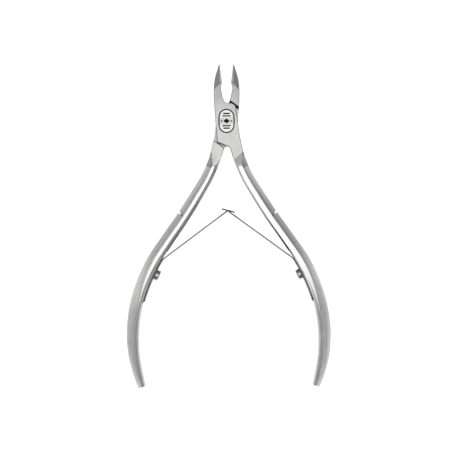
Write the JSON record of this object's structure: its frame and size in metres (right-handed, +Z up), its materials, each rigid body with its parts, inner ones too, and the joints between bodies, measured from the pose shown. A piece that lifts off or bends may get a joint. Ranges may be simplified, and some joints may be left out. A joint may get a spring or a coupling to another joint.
{
  "type": "cuticle nipper",
  "caption": "Slim cuticle nipper with short pointed jaws, a flat lap joint on one screw, curved handles and crossed leaf springs that hold it open.",
  "frame": {"origin": "under the middle of the tool's length and width, on the flat surface it lies on", "axes": "+Y along the tool from the handle ends to the jaw points, +Z up through its thickness, +X to the right handle"},
  "size_m": [0.0714, 0.1128, 0.0064],
  "materials": {
    "satin_steel": "satin ground laps and jaws, brushed handles",
    "spring_steel": "polished strip",
    "screw_steel": "bright turned"
  },
  "bodies": {
    "front": {"front_half": "satin_steel", "pivot_screw": "screw_steel", "right_spring_foot": "spring_steel", "right_spring_screw": "screw_steel"},
    "back": {"back_half": "satin_steel", "left_spring_foot": "spring_steel", "left_spring_screw": "screw_steel"},
    "right_leaf": {"right_spring_arm": "spring_steel"},
    "left_leaf": {"left_spring_arm": "spring_steel"}
  },
  "joints": [
    {"name": "pivot", "type": "hinge", "parent": "front", "child": "back", "pos_m": [0, 0.0361, 0.0032], "axis": [0, 0, 1], "range_deg": [0, 12.9], "stiffness_Nm_per_rad": 0.8, "springref_deg": -8.59},
    {"name": "right_leaf_bend", "type": "hinge", "parent": "front", "child": "right_leaf", "pos_m": [0.02276, -0.01158, 0.0032], "axis": [0, 0, 1], "range_deg": [-10, 1]},
    {"name": "left_leaf_bend", "type": "hinge", "parent": "back", "child": "left_leaf", "pos_m": [-0.02276, -0.01158, 0.0032], "axis": [0, 0, 1], "range_deg": [-1, 10]}
  ],
  "couplings": [
    {"joint": "right_leaf_bend", "follows": "pivot", "ratio": -0.75},
    {"joint": "left_leaf_bend", "follows": "pivot", "ratio": 0.75}
  ]
}
